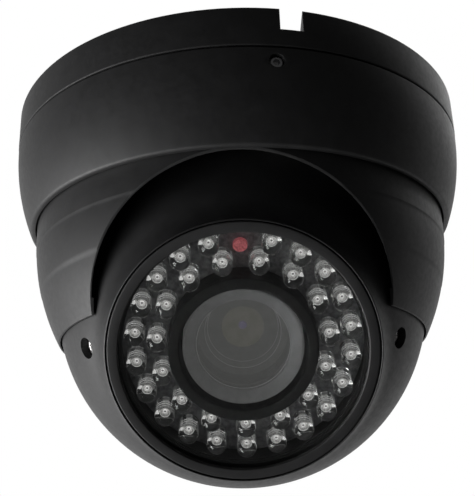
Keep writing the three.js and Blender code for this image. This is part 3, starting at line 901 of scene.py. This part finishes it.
def photocell():
    """A flat round light sensor with a shallow rim."""
    foot, top = BOARD_FRONT + 0.3, BOARD_FRONT + 2.2
    profile = rounded([
        (0, foot),
        (PHOTOCELL_RADIUS, foot, 0.2),
        (PHOTOCELL_RADIUS, top, 0.2),
        (PHOTOCELL_RADIUS - 0.25, top, 0.1),
        (PHOTOCELL_RADIUS - 0.3, top - 0.1),
        (0, top - 0.1),
    ])
    oval = Matrix.Diagonal((1, PHOTOCELL_SQUASH, 1, 1))
    return turned("light_sensor", profile, TURRET @ Matrix.Translation((0, PHOTOCELL_Y, 0)) @ oval, 48)


fit(front_glass(), "turret", WINDOW, "clear_glass", "front_glass")
fit(glass_gasket(), "turret", RUBBER, "rubber", "glass_gasket")
fit(lens_shroud(), "turret", RUBBER, "rubber", "lens_shroud")
fit(board(), "turret", MASK_BLACK, "board_black", "led_board")
for number, spot in enumerate(lamp_spots(), 1):
    lean = 180 * (spot.x < 0) + 9 * math.sin(number * 2.4)  # the anvils lie outward, none quite alike
    fit(lamp_body(f"lamp_{number}", spot), "turret", EPOXY, "clear_glass")
    fit(lamp_cup(f"lamp_cup_{number}", spot, lean), "turret", CUP, "steel")
    fit(lamp_painted_glints(f"lamp_painted_glints_{number}", spot, lean), "turret", LAMP_GLINT, "steel")
    fit(lamp_die(f"lamp_die_{number}", spot), "turret", DIE, "chip_black")
fit(photocell(), "turret", CELL, "photocell_red", "photocell")


# ---- lens ----------------------------------------------------------------------------------------

def lens_front_barrel():
    """The moving front of the lens: a broad sloping lip, then a cone of baffles behind the first lens."""
    cone = []
    for k in range(9):
        r, z = 11.9 - 0.33 * k, 28.6 - 0.95 * k
        cone += [(r, z), (r - 0.22, z - 0.8)]
    profile = [(9.4, 10), (10.8, 10), (10.8, 20), (LENS_RADIUS - 0.2, 20), (LENS_RADIUS, 20.2)]
    profile += rounded([
        (LENS_RADIUS, LENS_FRONT - 1.2),
        (LENS_RADIUS, LENS_FRONT, 0.25),
        (LENS_RADIUS - 0.5, LENS_FRONT, 0.2),
        (LENS_LIP + 0.3, 34.35),
        (LENS_LIP, 34.1, 0.1),
        (LENS_LIP, 33.3, 0.1),
        (LENS_SEAT, 33.3),
        (LENS_SEAT, 28.8),
    ])
    profile += cone + [(8.6, 19.6), (8.4, 19.6), (8.4, 18.4), (4.8, 18.2), (4.8, 17.9), (9.4, 17.4)]
    return turned("lens_front", profile, TURRET, LENS_ROUND)


def lens_retaining_ring():
    """The threaded ring behind the first lens."""
    profile = rounded([
        (10.9, 29.3, 0.15),
        (FRONT_LENS_RADIUS, 29.3, 0.1),
        (FRONT_LENS_RADIUS, 30.9, 0.1),
        (10.9, 30.9, 0.15),
    ])
    return turned("front_ring", profile, TURRET, LENS_ROUND)


def lens_element(name, radius, back, front, back_bulge, front_bulge):
    """A lens between two curved faces, which bulge by a height at the axis."""
    def face(z, bulge):
        return [(radius * i / 20, z + bulge * (1 - (i / 20) ** 2)) for i in range(21)]

    profile = face(back, -back_bulge) + face(front, front_bulge)[::-1]
    return turned(name, profile, TURRET, LENS_ROUND)


def flat_ring(name, inner, outer, bottom, top):
    """A thin annular plate with broken edges."""
    corners = ((inner, bottom), (outer, bottom), (outer, top), (inner, top))
    bevel = min(outer - inner, top - bottom) * 0.3
    return turned(name, rounded([(*corner, bevel) for corner in corners], 2), TURRET, LENS_ROUND)


def lens_baffles():
    """The plates behind the first lens, with thin rings of painted highlight on their edges, the pupil deep
    inside glowing warm in place of scattered light, and a violet disc at its centre that is a painted
    reflection.
    """
    pupil = [(0, 20.6), (5.2, 20.6), (5.2, 20.9), (0, 20.9)]
    reflex = [(0, 21.2), (0.9, 21.2), (0.7, 21.5), (0, 21.6)]
    yield flat_ring("lens_spacer", 8.45, 10.2, 24.2, 24.5), BAFFLE
    yield flat_ring("spacer_edge", 8.4, 8.5, 24.5, 24.56), RING_EDGE_HIGHLIGHT
    yield flat_ring("stop_edge", 7.7, 7.78, 22.3, 22.36), RING_EDGE_HIGHLIGHT
    yield flat_ring("lens_seat_edge", 10.95, 11.05, 33.22, 33.28), RING_EDGE_HIGHLIGHT
    yield flat_ring("stop_plate", 4.6, 9.3, 22.0, 22.3), BAFFLE
    yield turned("pupil", pupil, TURRET, LENS_ROUND), PUPIL
    yield turned("pupil_painted_reflection", reflex, TURRET, SCREW_ROUND), PAINTED_REFLECTION


for piece, material in lens_baffles():
    fit(piece, "lens_front_group", material, "anodised")
fit(lens_front_barrel(), "lens_front_group", BARREL, "anodised", "lens_front_barrel")
fit(lens_retaining_ring(), "lens_front_group", BARREL, "anodised", "lens_retaining_ring")
front_element = lens_element("front_element", FRONT_LENS_RADIUS, 31.2, 32.6, -0.4, 1.6)
second_element = lens_element("second_element", 9.2, 14, 16.4, 0.7, 0.7)
fit(front_element, "lens_front_group", COATED, "coated_glass", "front_lens")
fit(second_element, "lens_front_group", VIOLET, "coated_glass", "second_lens")


# ---- carried-over CAD pieces ---------------------------------------------------------------------

CARRIED = (  # a material and the starts of the names that it goes to
    (STEEL, ("yoke", "tilt_lock_screw", "board_spacer", "board_screw", "board_pillar", "module_screw",
             "zoom_lock_screw", "focus_lock_screw")),
    (NYLON, ("pan_friction_ring", "tilt_washer")),
    (ALLOY, ("turret_chassis",)),
    (PAINT_INSIDE, ("carrier_retaining_ring", "module_carrier", "lens_mount")),
    (MASK_GREEN, ("sensor_board", "processor_board")),
    (CHIP, ("image_sensor",)),
    (ANODISED, ("zoom_ring", "focus_ring")),
    (BARREL, ("lens_barrel", "aperture_plate")),
    (COATED, ("rear_lens",)),
)
for material, starts in CARRIED:
    for name, node in frame["nodes"].items():
        if name.startswith(starts):
            node.data.materials.clear()
            node.data.materials.append(material)


# ---- camera, light and floor ---------------------------------------------------------------------

CAMERA_TARGET = Vector((0, 0, -45.2))
CAMERA_DISTANCE = 226.1
CAMERA_ELEVATION = math.radians(18.59)  # below the object, looking up
CAMERA_YAW, CAMERA_PITCH, CAMERA_ROLL = -0.0033, -0.0432, 0.0329
CAMERA_LENS = 58.64
ROOM_LIGHT = (0.043, 0.9)  # strength in front of the object and behind it
ROOM_EDGES = (-0.05, 0.9)  # how far a direction points to +Y where each of the two begins
FLOOR_Z = -1.2
FLOOR_HALF = 40


def add_camera():
    away = Vector((0, -math.cos(CAMERA_ELEVATION), -math.sin(CAMERA_ELEVATION)))
    look = -away
    right = Vector((1, 0, 0))
    axes = Matrix((right, right.cross(look), away))
    turns = (Matrix.Rotation(CAMERA_ROLL, 3, "Z") @ Matrix.Rotation(CAMERA_PITCH, 3, "X")
             @ Matrix.Rotation(CAMERA_YAW, 3, "Y"))
    data = bpy.data.cameras.new("camera")
    data.lens = CAMERA_LENS
    data.clip_start = 0.01
    camera = bpy.data.objects.new("camera", data)
    spot = (CAMERA_TARGET + away * CAMERA_DISTANCE) * MM
    camera.matrix_world = Matrix.Translation(spot) @ (turns @ axes).transposed().to_4x4()
    bpy.context.scene.collection.objects.link(camera)
    bpy.context.scene.camera = camera


def add_panel(name, spot, size, power):
    """A soft panel light that faces the object."""
    data = bpy.data.lights.new(name, "AREA")
    data.shape = "RECTANGLE"
    data.size = size
    data.size_y = size
    data.energy = power
    panel = bpy.data.objects.new(name, data)
    spot = Vector(spot)
    away = spot - Vector((0, 0, PIVOT_Z * MM))
    panel.matrix_world = Matrix.Translation(spot) @ away.to_track_quat("Z", "Y").to_matrix().to_4x4()
    bpy.context.scene.collection.objects.link(panel)


def add_world():
    """A pale room behind the object and dim elsewhere; the view itself always ends on plain white."""
    world = bpy.data.worlds.new("studio")
    world.use_nodes = True
    tree = world.node_tree
    background = tree.nodes["Background"]
    direction = tree.nodes.new("ShaderNodeTexCoord").outputs["Generated"]
    parts = tree.nodes.new("ShaderNodeSeparateXYZ")
    tree.links.new(direction, parts.inputs[0])
    depth = tree.nodes.new("ShaderNodeMapRange")
    depth.inputs["From Min"].default_value = ROOM_EDGES[0]
    depth.inputs["From Max"].default_value = ROOM_EDGES[1]
    depth.inputs["To Min"].default_value = ROOM_LIGHT[0]
    depth.inputs["To Max"].default_value = ROOM_LIGHT[1]
    tree.links.new(parts.outputs["Y"], depth.inputs["Value"])
    path = tree.nodes.new("ShaderNodeLightPath")
    mix = tree.nodes.new("ShaderNodeMix")  # its float factor, A and B are inputs 0, 2 and 3
    mix.data_type = "FLOAT"
    mix.inputs[3].default_value = 1.0
    tree.links.new(path.outputs["Is Camera Ray"], mix.inputs[0])
    tree.links.new(depth.outputs["Result"], mix.inputs[2])
    tree.links.new(mix.outputs[0], background.inputs["Strength"])
    background.inputs["Color"].default_value = (1, 1, 1, 1)
    bpy.context.scene.world = world
    bpy.context.scene.view_settings.view_transform = "Standard"


def add_floor():
    """A pale floor far below the ceiling camera, which throws no light on it."""
    mesh = bpy.data.meshes.new("floor")
    signs = ((-1, -1), (1, -1), (1, 1), (-1, 1))
    corners = [(x * FLOOR_HALF, y * FLOOR_HALF, FLOOR_Z) for x, y in signs]
    mesh.from_pydata(corners, [], [(0, 1, 2, 3)])
    floor = bpy.data.objects.new("floor", mesh)
    bpy.context.scene.collection.objects.link(floor)
    surface = Surface("pale_floor", roughness=0.9)
    surface.color((0.72, 0.72, 0.72), (0.76, 0.76, 0.76), 400)
    surface.set(Emission_Color=(1, 1, 1, 1), Emission_Strength=0.55)
    mesh.materials.append(surface.material)
    floor.visible_diffuse = False
    floor.visible_glossy = False
    floor.visible_transmission = False


add_camera()
add_world()
add_floor()
add_panel("left_low", (-0.78, -0.1, -0.5), 0.8, 14)
add_panel("back_right_high", (0.45, 0.6, 0.8), 1.0, 5)
